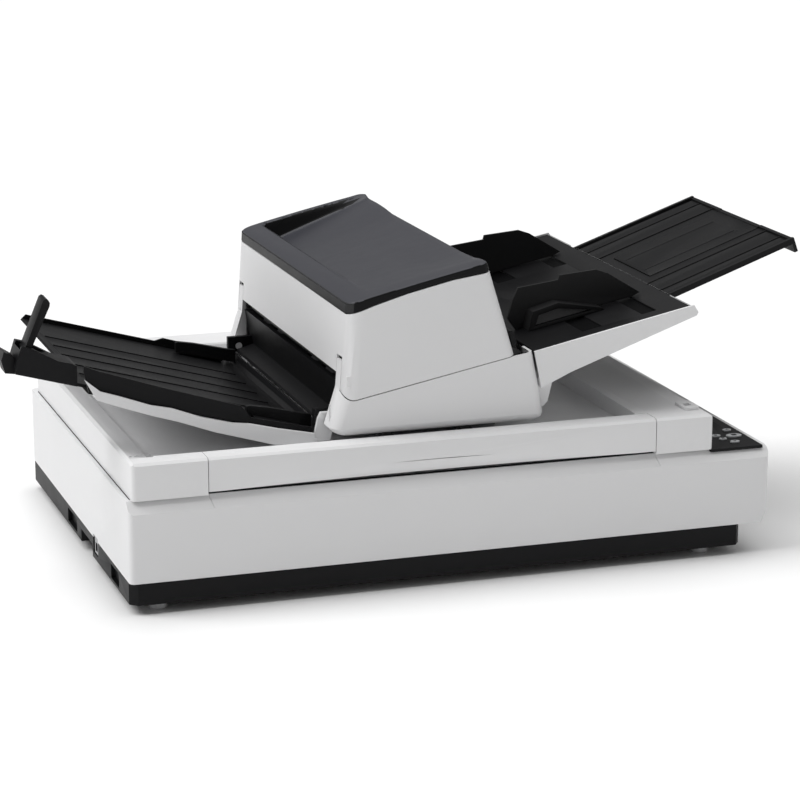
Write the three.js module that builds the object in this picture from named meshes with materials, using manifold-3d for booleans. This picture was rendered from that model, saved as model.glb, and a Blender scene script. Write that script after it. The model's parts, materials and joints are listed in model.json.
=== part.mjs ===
// Sheet-fed document scanner on an A3 flatbed base.
// Millimetres, +Z up, the front of the machine faces -Y.
// Origin: centre of the whole machine's footprint, on the plane the feet stand on.
import * as THREE from 'three';
import { mergeVertices } from 'three/addons/utils/BufferGeometryUtils.js';
import Module from 'manifold-3d';

const wasm = await Module();
wasm.setup();

// ---- driving dimensions ----
const CENTRE_SHIFT_X = 12.7;   // base centre to the centre of the overall footprint
const GAP = 0.3;              // clearance between touching pieces
const SEAM = 0.8;             // width of a visible parting line
const WALL = 3;               // moulded wall thickness

const BASE = { x0: -353, x1: 353, y0: -250, y1: 250 };
const PAN = { x1: 321.8, z0: 10, z1: 33.2, wall: 3 };
const SHELL = { z0: 33.5, z1: 118.2, bevelZ: 106, bevelY: 11.5, corner: 6 };
const LOCK = { y0: -97, y1: -81, travel: 5 };
const FOOT = { r: 9.5, x0: -320, x1: 282, y: 228 };
const GLASS = { x0: -300, x1: 146, y0: -168, y1: 150, t: 3.2, lip: 6 };

const ROD = { y: -118, z: 62, r: 4 };
const RAIL = { x0: -336, x1: 190 };
const CARRIAGE = { x0: -328, x1: -262, y0: -150, y1: 140, z0: 50, z1: 100 };
const PULLEY = { r: 8, y: 158, x0: -336, x1: 172, z0: 58, z1: 66 };
const BELT = { t: 1.4, z0: 58.8, z1: 65.2 };

const PANEL = { x0: 286, x1: 346.5, y0: -244.3, y1: -30, t: 3 };

const COVER = { x0: -347.7, x1: 288, y0: -244.1, y1: 240, z0: 118.5, z1: 157.3 };
const RECESS = { x0: -320, x1: 209, y0: -218, y1: 205, z: 140 };
const STRIP = { x0: -332, x1: 272, y0: 218, y1: 249.4, z0: 128, zFront: 164, zBack: 169.5 };
const HINGE = { y: 245.5, z: 122.5, r: 3.6, xs: [-200, 200], half: 22 };
const HANDLE = { x0: -268, x1: 221.6, back: -221.3, lip: 3.5, z0: 121.8, arch: 14, setBack: 7 };

const FEED = { y: 215, inner: 212 };                   // feeder half widths
const KNUCKLE = { x: -105.5, z: 207.5, r: 10.8 };      // hinge of the feeder's top cover
const POST = { y0: 184, y1: 200, z: 236 };
const DECK = { y: 183.5, plate: 3 };                   // inner frames between the posts
const ROLLERS = { brake: 45, feed: 8, eject: -96, r: 9 };
const OPTIC = { x0: -48, x1: -20 };

const CHUTE_SLOPE = Math.atan2(37.7, 182.3);
const EXT_SLOPE = Math.atan2(37.9, 106.4);
const STACK_SLOPE = Math.atan2(65.5, 234);

// ---- looks ----
const COLOURS = {
  white: [0xe6e6e4, 0.45, 0], dark: [0x404348, 0.5, 0], black: [0x1b1c1e, 0.5, 0],
  rubber: [0x2a2a2c, 0.85, 0], grey: [0x9a9ca0, 0.5, 0], key: [0xb9bcc0, 0.4, 0],
  steel: [0xb8babd, 0.3, 1], glass: [0xa8b8b8, 0.05, 0], board: [0x1f5a3a, 0.6, 0],
  pad: [0xf4f4f2, 0.9, 0], lens: [0x15181c, 0.1, 0], lamp: [0xf2f5ea, 0.3, 0],
};

function material(name) {
  const [color, roughness, metalness] = COLOURS[name];
  return new THREE.MeshStandardMaterial({ color, roughness, metalness });
}

// ---- solids ----
function solid(geometry) {
  geometry.deleteAttribute('normal');
  geometry.deleteAttribute('uv');
  const merged = mergeVertices(geometry, 1e-4);
  const vertProperties = new Float32Array(merged.attributes.position.array);
  const triVerts = new Uint32Array(merged.index.array);
  return new wasm.Manifold(new wasm.Mesh({ numProp: 3, vertProperties, triVerts }));
}

function extruded(points, depth) {
  const shape = new THREE.Shape(points.map(([u, v]) => new THREE.Vector2(u, v)));
  return new THREE.ExtrudeGeometry(shape, { depth, bevelEnabled: false, curveSegments: 8 });
}

// Profile in X-Z, swept from y0 to y1.
function prismY(points, y0, y1) {
  const geometry = extruded(points, y1 - y0);
  geometry.applyMatrix4(new THREE.Matrix4().set(1, 0, 0, 0, 0, 0, -1, y1, 0, 1, 0, 0, 0, 0, 0, 1));
  return solid(geometry);
}

// Profile in Y-Z, swept from x0 to x1.
function prismX(points, x0, x1) {
  const geometry = extruded(points, x1 - x0);
  geometry.applyMatrix4(new THREE.Matrix4().set(0, 0, 1, x0, 1, 0, 0, 0, 0, 1, 0, 0, 0, 0, 0, 1));
  return solid(geometry);
}

// Outline in X-Y, raised from z0 to z1.
function prismZ(points, z0, z1) {
  const geometry = extruded(points, z1 - z0);
  geometry.translate(0, 0, z0);
  return solid(geometry);
}

function box(x0, x1, y0, y1, z0, z1) {
  const geometry = new THREE.BoxGeometry(x1 - x0, y1 - y0, z1 - z0);
  geometry.translate((x0 + x1) / 2, (y0 + y1) / 2, (z0 + z1) / 2);
  return solid(geometry);
}

function cylinderX(r, x0, x1, y, z, sides = 24) {
  const geometry = new THREE.CylinderGeometry(r, r, x1 - x0, sides);
  geometry.rotateZ(Math.PI / 2);
  geometry.translate((x0 + x1) / 2, y, z);
  return solid(geometry);
}

function cylinderY(r, x, y0, y1, z, sides = 24) {
  const geometry = new THREE.CylinderGeometry(r, r, y1 - y0, sides);
  geometry.translate(x, (y0 + y1) / 2, z);
  return solid(geometry);
}

function cylinderZ(r, x, y, z0, z1, sides = 24, rTop = r) {
  const geometry = new THREE.CylinderGeometry(rTop, r, z1 - z0, sides);
  geometry.rotateX(Math.PI / 2);
  geometry.translate(x, y, (z0 + z1) / 2);
  return solid(geometry);
}

// Rounded rectangle: rl rounds the two left corners, rr the two right ones.
function roundedOutline(x0, x1, y0, y1, rl, rr = rl, steps = 5) {
  const corners = [
    [x1 - rr, y0 + rr, rr, -90], [x1 - rr, y1 - rr, rr, 0],
    [x0 + rl, y1 - rl, rl, 90], [x0 + rl, y0 + rl, rl, 180],
  ];
  const points = [];
  for (const [cx, cy, r, start] of corners) {
    for (let i = 0; i <= steps; i += 1) {
      const a = THREE.MathUtils.degToRad(start + (90 * i) / steps);
      points.push([cx + r * Math.cos(a), cy + r * Math.sin(a)]);
    }
  }
  return points;
}

// Skin over a stack of rounded rectangles [z, x0, x1, halfY, rl, rr].
function loft(sections) {
  const rings = sections.map(([, x0, x1, h, rl, rr]) => roundedOutline(x0, x1, -h, h, rl, rr));
  const count = rings[0].length;
  const vertices = [];
  rings.forEach((ring, k) => ring.forEach(([x, y]) => vertices.push(x, y, sections[k][0])));
  const index = [];
  for (let k = 0; k + 1 < rings.length; k += 1) {
    for (let i = 0; i < count; i += 1) {
      const a = k * count + i;
      const b = k * count + ((i + 1) % count);
      index.push(a, b, b + count, a, b + count, a + count);
    }
  }
  const top = (rings.length - 1) * count;
  for (let i = 1; i + 1 < count; i += 1) {
    index.push(0, i + 1, i, top, top + i, top + i + 1);
  }
  const geometry = new THREE.BufferGeometry();
  geometry.setAttribute('position', new THREE.Float32BufferAttribute(vertices, 3));
  geometry.setIndex(index);
  return solid(geometry);
}

// Solid between a square grid of points, row after row, and the level top.
function basin(points, side, top) {
  const vertices = [...points.flat(), ...points.flatMap(([x, y]) => [x, y, top])];
  const lift = points.length;
  const index = [];
  const quad = (a, b, c, d) => index.push(a, b, c, a, c, d);
  for (let j = 0; j + 1 < side; j += 1) {
    for (let i = 0; i + 1 < side; i += 1) {
      const a = j * side + i;
      quad(a, a + side, a + side + 1, a + 1);
      quad(a + lift, a + 1 + lift, a + side + 1 + lift, a + side + lift);
    }
  }
  for (let i = 0; i + 1 < side; i += 1) {
    const rim = [[i, i + 1], [(i + 1) * side - 1, (i + 2) * side - 1]];
    rim.push([side * side - 1 - i, side * side - 2 - i], [(side - 1 - i) * side, (side - 2 - i) * side]);
    rim.forEach(([a, b]) => quad(a, b, b + lift, a + lift));
  }
  const geometry = new THREE.BufferGeometry();
  geometry.setAttribute('position', new THREE.Float32BufferAttribute(vertices, 3));
  geometry.setIndex(index);
  return solid(geometry);
}

function inset(sections, d) {
  return sections.map(([z, x0, x1, h, rl, rr]) =>
    [z, x0 + d, x1 - d, h - d, Math.max(rl - d, 0.5), Math.max(rr - d, 0.5)]);
}

function union(parts) {
  return parts.reduce((a, b) => a.add(b));
}

function cut(body, tools) {
  return tools.reduce((a, b) => a.subtract(b), body);
}

// ---- scene graph ----
const machine = new THREE.Group();
machine.position.x = CENTRE_SHIFT_X;

function place(name, shape, look, parent = machine) {
  const mesh = shape.getMesh();
  const geometry = new THREE.BufferGeometry();
  geometry.setAttribute('position', new THREE.Float32BufferAttribute(mesh.vertProperties, 3));
  geometry.setIndex(new THREE.BufferAttribute(mesh.triVerts, 1));
  const flat = geometry.toNonIndexed();
  flat.computeVertexNormals();
  const node = new THREE.Mesh(flat, material(look));
  node.name = name;
  parent.add(node);
  return node;
}

// ---- base ----
function bottomPan() {
  const outer = prismZ([
    [BASE.x0 + 8, BASE.y0], [PAN.x1 - 6, BASE.y0], [PAN.x1, BASE.y0 + 8], [PAN.x1, BASE.y1 - 8],
    [PAN.x1 - 6, BASE.y1], [BASE.x0 + 8, BASE.y1], [BASE.x0, BASE.y1 - 8], [BASE.x0, BASE.y0 + 8],
  ], PAN.z0 + GAP, PAN.z1);
  const inner = box(BASE.x0 + 15, PAN.x1 - PAN.wall, BASE.y0 + 3, BASE.y1 - 3, PAN.z0 + 3, PAN.z1 + 1);
  const grips = [box(BASE.x0 - 1, BASE.x0 + 12, -70, -14, PAN.z0 - 1, 24)];
  grips.push(box(PAN.x1 - 2, PAN.x1 + 1, -70, -14, PAN.z0 - 1, 24));
  const vents = [[8, 56], [-197, -160]].map(([a, b]) => box(BASE.x0 - 1, BASE.x0 + 5, a, b, 14, 29));
  return cut(outer, [inner, ...grips, ...vents]);
}

function baseShell() {
  const { z0, z1, bevelZ, bevelY, corner } = SHELL;
  const block = (d, top) => {
    const side = prismX([
      [BASE.y0 + d, z0 - d], [BASE.y1 - d, z0 - d], [BASE.y1 - d, z1 - top],
      [BASE.y0 + bevelY + d / 2, z1 - top], [BASE.y0 + d, bevelZ - d / 2],
    ], BASE.x0 + d, BASE.x1 - d);
    const front = prismY([
      [BASE.x0 + d, z0 - d - 1], [BASE.x1 - 8.7 - d, z0 - d - 1], [BASE.x1 - d, 52],
      [BASE.x1 - d, z1 - 3], [BASE.x1 - 3 - d, z1 + 1], [BASE.x0 + 1 + d, z1 + 1], [BASE.x0 + d, z1 - 1],
    ], BASE.y0 - 1, BASE.y1 + 1);
    const plan = roundedOutline(BASE.x0 + d, BASE.x1 - d, BASE.y0 + d, BASE.y1 - d, corner - d);
    return side.intersect(front).intersect(prismZ(plan, z0 - 10, z1 + 10));
  };
  const floorRight = box(PAN.x1 + 1, BASE.x1, BASE.y0, BASE.y1, z0, z0 + 3).intersect(block(0, 0));
  const glass = box(GLASS.x0, GLASS.x1, GLASS.y0, GLASS.y1, z1 - 3.6, z1 + 1);
  const window = box(GLASS.x0 + 6, GLASS.x1 - 6, GLASS.y0 + 6, GLASS.y1 - 6, z1 - 20, z1 + 1);
  const panel = box(PANEL.x0 - GAP, PANEL.x1 + GAP, PANEL.y0 - GAP, PANEL.y1 + GAP, z1 - PANEL.t - GAP, z1 + 1);
  const well = box(PANEL.x0 + 4, PANEL.x1 - 3, PANEL.y0 + 8, PANEL.y1 - 5, z1 - 20, z1);
  const ledge = box(PANEL.x0 - 3, PANEL.x1 + 1, PANEL.y0 - 1, PANEL.y1 + 3, z1 - 6.5, z1 - 1);
  const sockets = [box(252, 284, 240, 252, 52, 76), box(206, 222, 240, 252, 58, 72)];
  const slot = box(BASE.x0 - 1, BASE.x0 + 8, LOCK.y0 - 1, LOCK.y1 + 1 + LOCK.travel, z0 - 1, z0 + 3.6);
  const seams = [HANDLE.x0, HANDLE.x1].map((x) => prismZ([
    [x + 4, BASE.y0 - 1], [x + 4.7, BASE.y0 - 1], [x + 0.7, BASE.y0 + bevelY], [x, BASE.y0 + bevelY],
  ], bevelZ, z1 + 1).subtract(block(0.8, 0.8)));
  const hollow = cut(block(0, 0), [block(WALL, 3.8)]).add(floorRight);
  return cut(hollow.add(ledge.intersect(block(0, 0))), [glass, window, panel, well, ...sockets, slot, ...seams]);
}

function footShape(x, y) {
  return cylinderZ(FOOT.r - 1.2, x, y, 0, 2, 20, FOOT.r).add(cylinderZ(FOOT.r, x, y, 2, PAN.z0, 20));
}

function scanCarriage() {
  const { x0, x1, y0, y1, z0, z1 } = CARRIAGE;
  const body = box(x0, x1, y0, y1, z0, z1);
  const bay = box(x0 + 8, x1 - 8, y0 + 8, y1 - 8, z0 + 10, z1 + 1);
  const bore = cylinderX(ROD.r + 0.08, x0 - 1, x1 + 1, ROD.y, ROD.z);
  const clamp = box(x0 + 20, x1 - 20, y1 - 1, PULLEY.y - PULLEY.r - BELT.t - 0.6, 56, 68);
  return cut(body.add(clamp), [bay, bore]);
}

function guideRod() {
  const rod = cylinderX(ROD.r, RAIL.x0, RAIL.x1, ROD.y, ROD.z);
  const stands = [RAIL.x0, RAIL.x1 - 6].map((x) => box(x, x + 6, ROD.y - 9, ROD.y + 9, PAN.z0 + 3 + GAP, ROD.z + 8));
  return union([rod, ...stands]);
}

function pulley(x) {
  const { r, y, z0, z1 } = PULLEY;
  const wheel = cylinderZ(r, x, y, z0, z1);
  const flanges = [z0 - 1.5, z1].map((z) => cylinderZ(r + 2.4, x, y, z, z + 1.5));
  return cut(union([wheel, ...flanges]), [cylinderZ(2.1, x, y, z0 - 9, z1 + 9, 16)]);
}

function beltLoop() {
  const outline = (d) => {
    const r = PULLEY.r + d;
    const points = [];
    for (const [cx, start] of [[PULLEY.x1, -90], [PULLEY.x0, 90]]) {
      for (let i = 0; i <= 12; i += 1) {
        const a = THREE.MathUtils.degToRad(start + 15 * i);
        points.push([cx + r * Math.cos(a), PULLEY.y + r * Math.sin(a)]);
      }
    }
    return points;
  };
  const outer = prismZ(outline(0.3 + BELT.t), BELT.z0, BELT.z1);
  return outer.subtract(prismZ(outline(0.3), BELT.z0 - 1, BELT.z1 + 1));
}

function carriageMotor() {
  const can = cylinderZ(19, PULLEY.x1, PULLEY.y, 16, 48, 28);
  const shaft = cylinderZ(2, PULLEY.x1, PULLEY.y, 48, 70, 16);
  const bracket = box(PULLEY.x1 - 22, PULLEY.x1 + 22, PULLEY.y - 22, PULLEY.y + 22, PAN.z0 + 3 + GAP, 18);
  return union([can, shaft, bracket]);
}

function idlerPost() {
  const post = cylinderZ(2, PULLEY.x0, PULLEY.y, 30, 70, 16);
  return post.add(box(PULLEY.x0 - 0.8, PULLEY.x0 + 12, PULLEY.y - 8, PULLEY.y + 8, PAN.z0 + 3 + GAP, 36));
}

function mainBoard() {
  const plate = box(206, 314, -190, 60, 20, 22);
  const posts = [[212, -184], [308, -184], [212, 54], [308, 54]].map(([x, y]) =>
    cylinderZ(4, x, y, PAN.z0 + 3 + GAP, 20.5, 12));
  const chips = [[230, -120, 26], [262, -60, 34], [236, 10, 20], [286, -140, 16]].map(([x, y, s]) =>
    box(x, x + s, y, y + s, 21.5, 26));
  return union([plate, ...posts, ...chips]);
}

function powerSupply() {
  const can = box(206, 314, 100, 226, PAN.z0 + 3 + GAP, 66);
  const slots = [];
  for (let i = 0; i < 6; i += 1) {
    slots.push(box(216 + i * 15, 224 + i * 15, 110, 214, 64, 67));
  }
  return cut(can, slots);
}

function powerInlet() {
  const body = box(252.3, 283.7, 228, 249.6, 52.3, 75.7);
  const socket = box(256, 280, 238, 251, 56, 72);
  const pins = [[262, 62], [274, 62], [268, 68]].map(([x, z]) => box(x - 1, x + 1, 237, 246, z - 2.5, z + 2.5));
  return union([cut(body, [socket]), ...pins]);
}

function dataPort() {
  const body = box(206.3, 221.7, 230, 249.6, 58.3, 71.7);
  const socket = box(209, 219, 238, 251, 60.5, 69.5);
  return cut(body, [socket]).add(box(211, 217, 237, 246, 64, 66));
}

const KEYS = [
  ['key_stop', 332.5, -201, 9, 6], ['key_scan', 313, -196.5, 5.5, 4], ['key_up', 335, -177.5, 5, 3.8],
  ['key_down', 323, -224.5, 5.5, 3.6], ['key_menu', 315.5, -210, 4.5, 3.5],
];

function keyShape([, x, y, rx, ry], d, z0, z1) {
  const shape = cylinderZ(1, 0, 0, z0, z1, 20).scale([rx + d, ry + d, 1]);
  return shape.translate([x, y, 0]);
}

function operatorPanel() {
  const { x0, x1, y0, y1, t } = PANEL;
  const plate = box(x0, x1, y0, y1, SHELL.z1 - t, SHELL.z1 + 0.2);
  const holes = KEYS.map((key) => keyShape(key, 0.35, SHELL.z1 - 6, SHELL.z1 + 2));
  const display = box(x0 + 9, x1 - 9, -112, -48, SHELL.z1 - 1.2, SHELL.z1 + 1);
  return cut(plate, [...holes, display]);
}

function keyCap(key) {
  const cap = keyShape(key, 0, SHELL.z1 - 6, SHELL.z1 + 1.6);
  return cap.add(keyShape(key, 0.9, SHELL.z1 - 7, SHELL.z1 - 5));
}

function transportLock() {
  const body = box(BASE.x0 + 0.6, BASE.x0 + 6, LOCK.y0, LOCK.y1, 18, SHELL.z0 + 3);
  const hole = box(BASE.x0 - 1, BASE.x0 + 8, LOCK.y0 + 4, LOCK.y1 - 4, 21.5, 30);
  return cut(body, [hole]);
}

function hingeBlock(x) {
  const { y, z, r, half } = HINGE;
  const knuckle = cylinderX(r, x - half, x + half, y, z, 20);
  return knuckle.add(box(x - half, x + half, y - r, y + r, COVER.z0, z));
}

function buildBase() {
  place('bottom_pan', cut(bottomPan(), [box(BASE.x0 - 1, BASE.x0 + 12, LOCK.y0 - 1, LOCK.y1 + 1 + LOCK.travel, 17, 40)]), 'black');
  place('base_shell', baseShell(), 'white');
  place('flatbed_glass', box(GLASS.x0 + GAP, GLASS.x1 - GAP, GLASS.y0 + GAP, GLASS.y1 - GAP,
    SHELL.z1 - 3.3, SHELL.z1), 'glass');
  const corners = { front_left: [FOOT.x0, -FOOT.y], front_right: [FOOT.x1, -FOOT.y] };
  corners.rear_left = [FOOT.x0, FOOT.y];
  corners.rear_right = [FOOT.x1, FOOT.y];
  Object.entries(corners).forEach(([name, [x, y]]) => place(`foot_${name}`, footShape(x, y), 'grey'));
  place('guide_rod', guideRod(), 'steel');
  place('scan_carriage', scanCarriage(), 'black');
  place('carriage_lamp', cylinderY(4, CARRIAGE.x0 + 18, CARRIAGE.y0 + 12, CARRIAGE.y1 - 12, 92, 16)
    .add(box(CARRIAGE.x0 + 14, CARRIAGE.x0 + 22, CARRIAGE.y0 + 12, CARRIAGE.y0 + 20, 60.3, 92))
    .add(box(CARRIAGE.x0 + 14, CARRIAGE.x0 + 22, CARRIAGE.y1 - 20, CARRIAGE.y1 - 12, 60.3, 92)), 'lamp');
  place('drive_pulley', pulley(PULLEY.x1), 'grey');
  place('idler_pulley', pulley(PULLEY.x0), 'grey');
  place('idler_post', idlerPost(), 'steel');
  place('carriage_belt', beltLoop(), 'rubber');
  place('carriage_motor', carriageMotor(), 'steel');
  place('main_board', mainBoard(), 'board');
  place('power_supply', powerSupply(), 'steel');
  place('power_inlet', powerInlet(), 'black');
  place('data_port', dataPort(), 'steel');
  place('operator_panel', operatorPanel(), 'black');
  place('display_window', box(PANEL.x0 + 9 + GAP, PANEL.x1 - 9 - GAP, -112 + GAP, -48 - GAP,
    SHELL.z1 - 0.9, SHELL.z1 + 0.2), 'lens');
  KEYS.forEach((key) => place(key[0], keyCap(key), 'key'));
  place('transport_lock', transportLock(), 'grey');
  HINGE.xs.forEach((x, i) => place(`hinge_block_${i ? 'right' : 'left'}`, hingeBlock(x), 'grey'));
}

// ---- document cover ----
// Height of the grip's scoop over the handle's lower edge, t running 0 to 1 along the handle.
function scoopRise(t) {
  return HANDLE.arch * Math.sin(Math.PI * t) ** 0.8;
}

function coverOuter() {
  const { x0, x1, y0, y1, z0, z1 } = COVER;
  const plan = roundedOutline(x0, x1, y0, y1, 5, 4);
  const side = prismX([
    [y0 - 1, z0], [y1, z0], [y1, z1], [y0 + 3, z1], [y0, z1 - 2.5], [y0, z0 + 1]], x0 - 1, x1 + 6);
  const ends = prismY([
    [x0, z0], [x1 + 2.7, z0], [x1 - 1, z1 - 2.5], [x1 - 4, z1], [x0 + 3, z1], [x0, z1 - 2.5]], y0 - 1, y1 + 1);
  return prismZ(plan, z0 - 1, z1 + 1).intersect(side).intersect(ends);
}

function coverStrip() {
  return prismX([
    [STRIP.y0, COVER.z1 - 8], [STRIP.y1, STRIP.z0], [STRIP.y1, STRIP.zBack - 3], [STRIP.y1 - 3, STRIP.zBack],
    [STRIP.y0 + 2, STRIP.zFront], [STRIP.y0, STRIP.zFront - 2]], STRIP.x0, STRIP.x1);
}

// Hollows on the underside: the main cavity, the right rail, the rear rail and the raised strip.
function coverHollows() {
  const { x0, x1, y0, y1, z0, z1 } = COVER;
  return [
    box(x0 + WALL, x1 - WALL - 4, y0 + WALL, y1 - WALL, z0 - 1, RECESS.z - 4),
    box(RECESS.x1 + 3, x1 - WALL - 6, y0 + 40, y1 - WALL, RECESS.z - 5, z1 - WALL),
    box(x0 + 8, x1 - 10, STRIP.y0 + WALL, y1 - WALL, RECESS.z - 5, z1 - WALL),
    prismX([
      [STRIP.y0 + 3, z1 - WALL - 1], [y1 - WALL, z1 - WALL - 1], [STRIP.y1 - 3, z1 - 8],
      [STRIP.y1 - 3, STRIP.zBack - 4], [STRIP.y0 + 3, STRIP.zFront - 4]], STRIP.x0 + 4, STRIP.x1 - 4),
  ];
}

// The left rail falls from the outer edge to the recess, and runs out softly at the front.
function coverShelf() {
  const { x0, z1 } = COVER;
  const fall = prismY([
    [x0 + 4, z1 - 1.2], [x0 + 16, z1 - 6], [RECESS.x0 + 1, z1 - 8.5], [RECESS.x0 + 1, z1 + 1], [x0 + 4, z1 + 1],
  ], RECESS.y0 - 3, RECESS.y1);
  const runOut = prismX([
    [RECESS.y0 - 4, z1], [RECESS.y0 + 22, z1 - 10], [RECESS.y1 + 1, z1 - 10], [RECESS.y1 + 1, z1 + 2],
    [RECESS.y0 - 4, z1 + 2]], x0, RECESS.x0 + 2);
  return fall.intersect(runOut);
}

function handleBay() {
  const { x0, x1, back, lip } = HANDLE;
  const { y0, z0, z1 } = COVER;
  const bay = box(x0 - SEAM, x1 + SEAM, y0 - 1, back + GAP, z0 - 1, z1 + 1);
  return bay.add(box(x0 - SEAM, x1 + SEAM, back, RECESS.y0 + 1, z1 - lip - GAP, z1 + 1));
}

function coverEars() {
  const ears = [];
  for (const x of HINGE.xs) {
    for (const s of [-1, 1]) {
      const a = x + s * (HINGE.half + 0.6);
      const b = a + s * 8;
      ears.push(cylinderX(HINGE.r, Math.min(a, b), Math.max(a, b), HINGE.y, HINGE.z, 20));
      ears.push(box(Math.min(a, b), Math.max(a, b), 236, HINGE.y, COVER.z0 + 0.6, 128));
    }
  }
  return ears;
}

function coverShell() {
  const { z0, z1 } = COVER;
  const recess = prismZ(roundedOutline(RECESS.x0, RECESS.x1, RECESS.y0, RECESS.y1, 4), RECESS.z, z1 + 1);
  const bump = prismZ(roundedOutline(265, 282, -222, -190, 5), z1 - 2, z1 + 3);
  const eye = box(269, 277, -212, -202, z1 - 1, z1 + 5);
  const notches = HINGE.xs.map((x) => box(x - HINGE.half - GAP, x + HINGE.half + GAP, 239, 251, z0 - 1, 126.6));
  const ends = [HANDLE.x0 - 4, HANDLE.x1].map((x) =>
    box(x, x + 4, COVER.y0, HANDLE.back + 3, z0, z1).intersect(coverOuter()));
  const outer = coverOuter().add(coverStrip());
  const body = union([cut(outer, [recess, coverShelf(), ...coverHollows()]), bump, ...ends]);
  return union([cut(body, [handleBay(), ...notches, eye]), ...coverEars()]);
}

// Front rail of the cover between its two seams, lifted by the scoop along its lower edge.
function coverHandle() {
  const { x0, x1, back, lip, z0, setBack } = HANDLE;
  const { y0, z1 } = COVER;
  const rail = prismX([
    [y0, z0], [back, z0], [back, z1 - lip], [RECESS.y0, z1 - lip], [RECESS.y0, z1], [y0 + 3, z1],
    [y0, z1 - 2.5]], x0, x1);
  const from = x0 + 16;
  const span = x1 - 22 - from;
  const steps = 20;
  const facet = [];
  const slit = [];
  for (let i = 0; i <= steps; i += 1) {
    const x = from + (span * i) / steps;
    const h = scoopRise(i / steps);
    const back0 = (setBack * (h + 1)) / HANDLE.arch;
    facet.push([x, y0 - 1, z0 - 1], [x, y0 - 1, z0 + h + HANDLE.arch / setBack], [x, y0 + back0, z0 - 1]);
    if (x > -90 && x < 58) {
      slit.push([x, z0 + h]);
    }
  }
  const scoop = wasm.Manifold.hull(facet);
  const hollow = box(x0 + 4, x1 - 4, y0 + setBack + 4, back - 3, z0 - 1, z1 - 5);
  return cut(rail, [scoop, prismY(slit, y0 - 1, y0 + 9), hollow]);
}

function documentPad() {
  const pad = prismZ(roundedOutline(-316, 162, -182, 164, 4), COVER.z0 + 0.1, RECESS.z - 5);
  return cut(pad, [box(-306, 152, -172, 154, COVER.z0 + 4, RECESS.z - 4)]);
}

function buildCover() {
  place('cover_shell', coverShell(), 'white');
  place('cover_handle', coverHandle(), 'white');
  place('document_pad', documentPad(), 'pad');
}

// ---- feeder: outer surfaces shared by its two halves ----
const LOWER_FORM = [
  [158.8, -119, 100.5, 209, 10, 8], [162, -125, 105, 213, 13, 9], [166.6, -128.8, 106, 215, 15, 10],
  [196.7, -119.2, 101.3, 215, 15, 10], [207, -116, 99, 215, 15, 10], [240, -113.6, 91.7, 215, 15, 10],
];
const UPPER_FORM = [
  [190, -117.3, 85.5, 215, 15, 10], [207, -116, 80.4, 215, 15, 10], [298, -110, 52.5, 215, 15, 10],
  [340, -106, 39.7, 215, 15, 10],
];

// Region over the parting line between the halves, raised by lift, round a knuckle of radius r.
function aboveSeam(lift, r) {
  const slope = (230.8 - 196.2) / (73.1 + 107);
  const line = (x) => 196.2 + lift * 1.02 + (x + 107) * slope;
  const points = [[-140, 360], [-140, KNUCKLE.z], [KNUCKLE.x - r, KNUCKLE.z]];
  const end = 270 + THREE.MathUtils.radToDeg(Math.atan(slope));
  for (let i = 1; i <= 8; i += 1) {
    const a = THREE.MathUtils.degToRad(180 + ((end - 180) * i) / 8);
    points.push([KNUCKLE.x + r * Math.cos(a), KNUCKLE.z + r * Math.sin(a)]);
  }
  points.push([73.1, line(73.1)], [140, 233.4 + lift + (140 - 93.1) * 0.13], [140, 360]);
  return points;
}

function crownLine(drop) {
  const points = [[-140, 275], [-109.6, 286], [-82.4, 295.2], [-46.1, 305.5], [2.5, 316.3], [45.5, 322.3], [80, 325]];
  return points.map(([x, z]) => [x, z - drop]);
}

const TRAY_LINE = [[-140, 290], [-112, 297.6], [-86, 304.4], [-60, 310.5], [-35, 316.3], [-10, 321.8], [8, 325.7],
  [24, 329], [34, 331.3], [44, 333.2], [60, 334.6], [80, 335.6]];
const BOWL = { x0: -85, x1: 54, y0: -203, y1: 205, deep: 23.5, run: 4.2 };
const WELL = { x0: -96, x1: 46, y0: -125, y1: 208.8 };     // opening in the cover that the bowl sinks into

const PATH = [[-113, 210], [-60, 206], [0, 208], [60, 219], [92, 226.5]];

function pathZ(x) {
  for (let i = 1; i < PATH.length; i += 1) {
    const [ax, az] = PATH[i - 1];
    const [bx, bz] = PATH[i];
    if (x <= bx) {
      return az + ((bz - az) * (x - ax)) / (bx - ax);
    }
  }
  return PATH[PATH.length - 1][1];
}

function feederBase() {
  const form = loft(LOWER_FORM).subtract(prismY(aboveSeam(0, KNUCKLE.r + 0.7), -230, 230));
  const post = (s) => loft(LOWER_FORM).intersect(
    box(-125, -111, Math.min(s * POST.y0, s * POST.y1), Math.max(s * POST.y0, s * POST.y1), 190, POST.z));
  const cavity = loft(inset(LOWER_FORM, WALL)).intersect(box(-200, 200, -300, 300, 162.5, 300));
  const exit = box(-140, -90, -POST.y0, POST.y0, 163, 260).add(box(-140, -113, -168.6, 168.6, 161, 164));
  const entry = box(80, 140, -DECK.y - 1, DECK.y + 1, 206, 260);
  const body = cut(union([form, post(-1), post(1)]), [cavity, exit, entry]);
  const ledges = [-1, 1].map((s) => box(-126, -111, Math.min(s * POST.y0, s * POST.y1),
    Math.max(s * POST.y0, s * POST.y1), 170, POST.z).intersect(loft(LOWER_FORM)));
  const vents = [];
  for (let i = 0; i < 4; i += 1) {
    vents.push(box(-135, -105, -198 + i * 3.4, -196.4 + i * 3.4, 172 + i * 3, 178 + i * 3));
  }
  const pockets = [-1, 1].map((s) => box(-140, -108, s < 0 ? -POST.y0 : 168.5, s < 0 ? -168.5 : POST.y0, 150, 186));
  const dot = cylinderX(1.4, -130, -105, 192, 208.5, 10);
  return cut(union([body, ...ledges]), [...vents, ...pockets, dot]);
}

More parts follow.
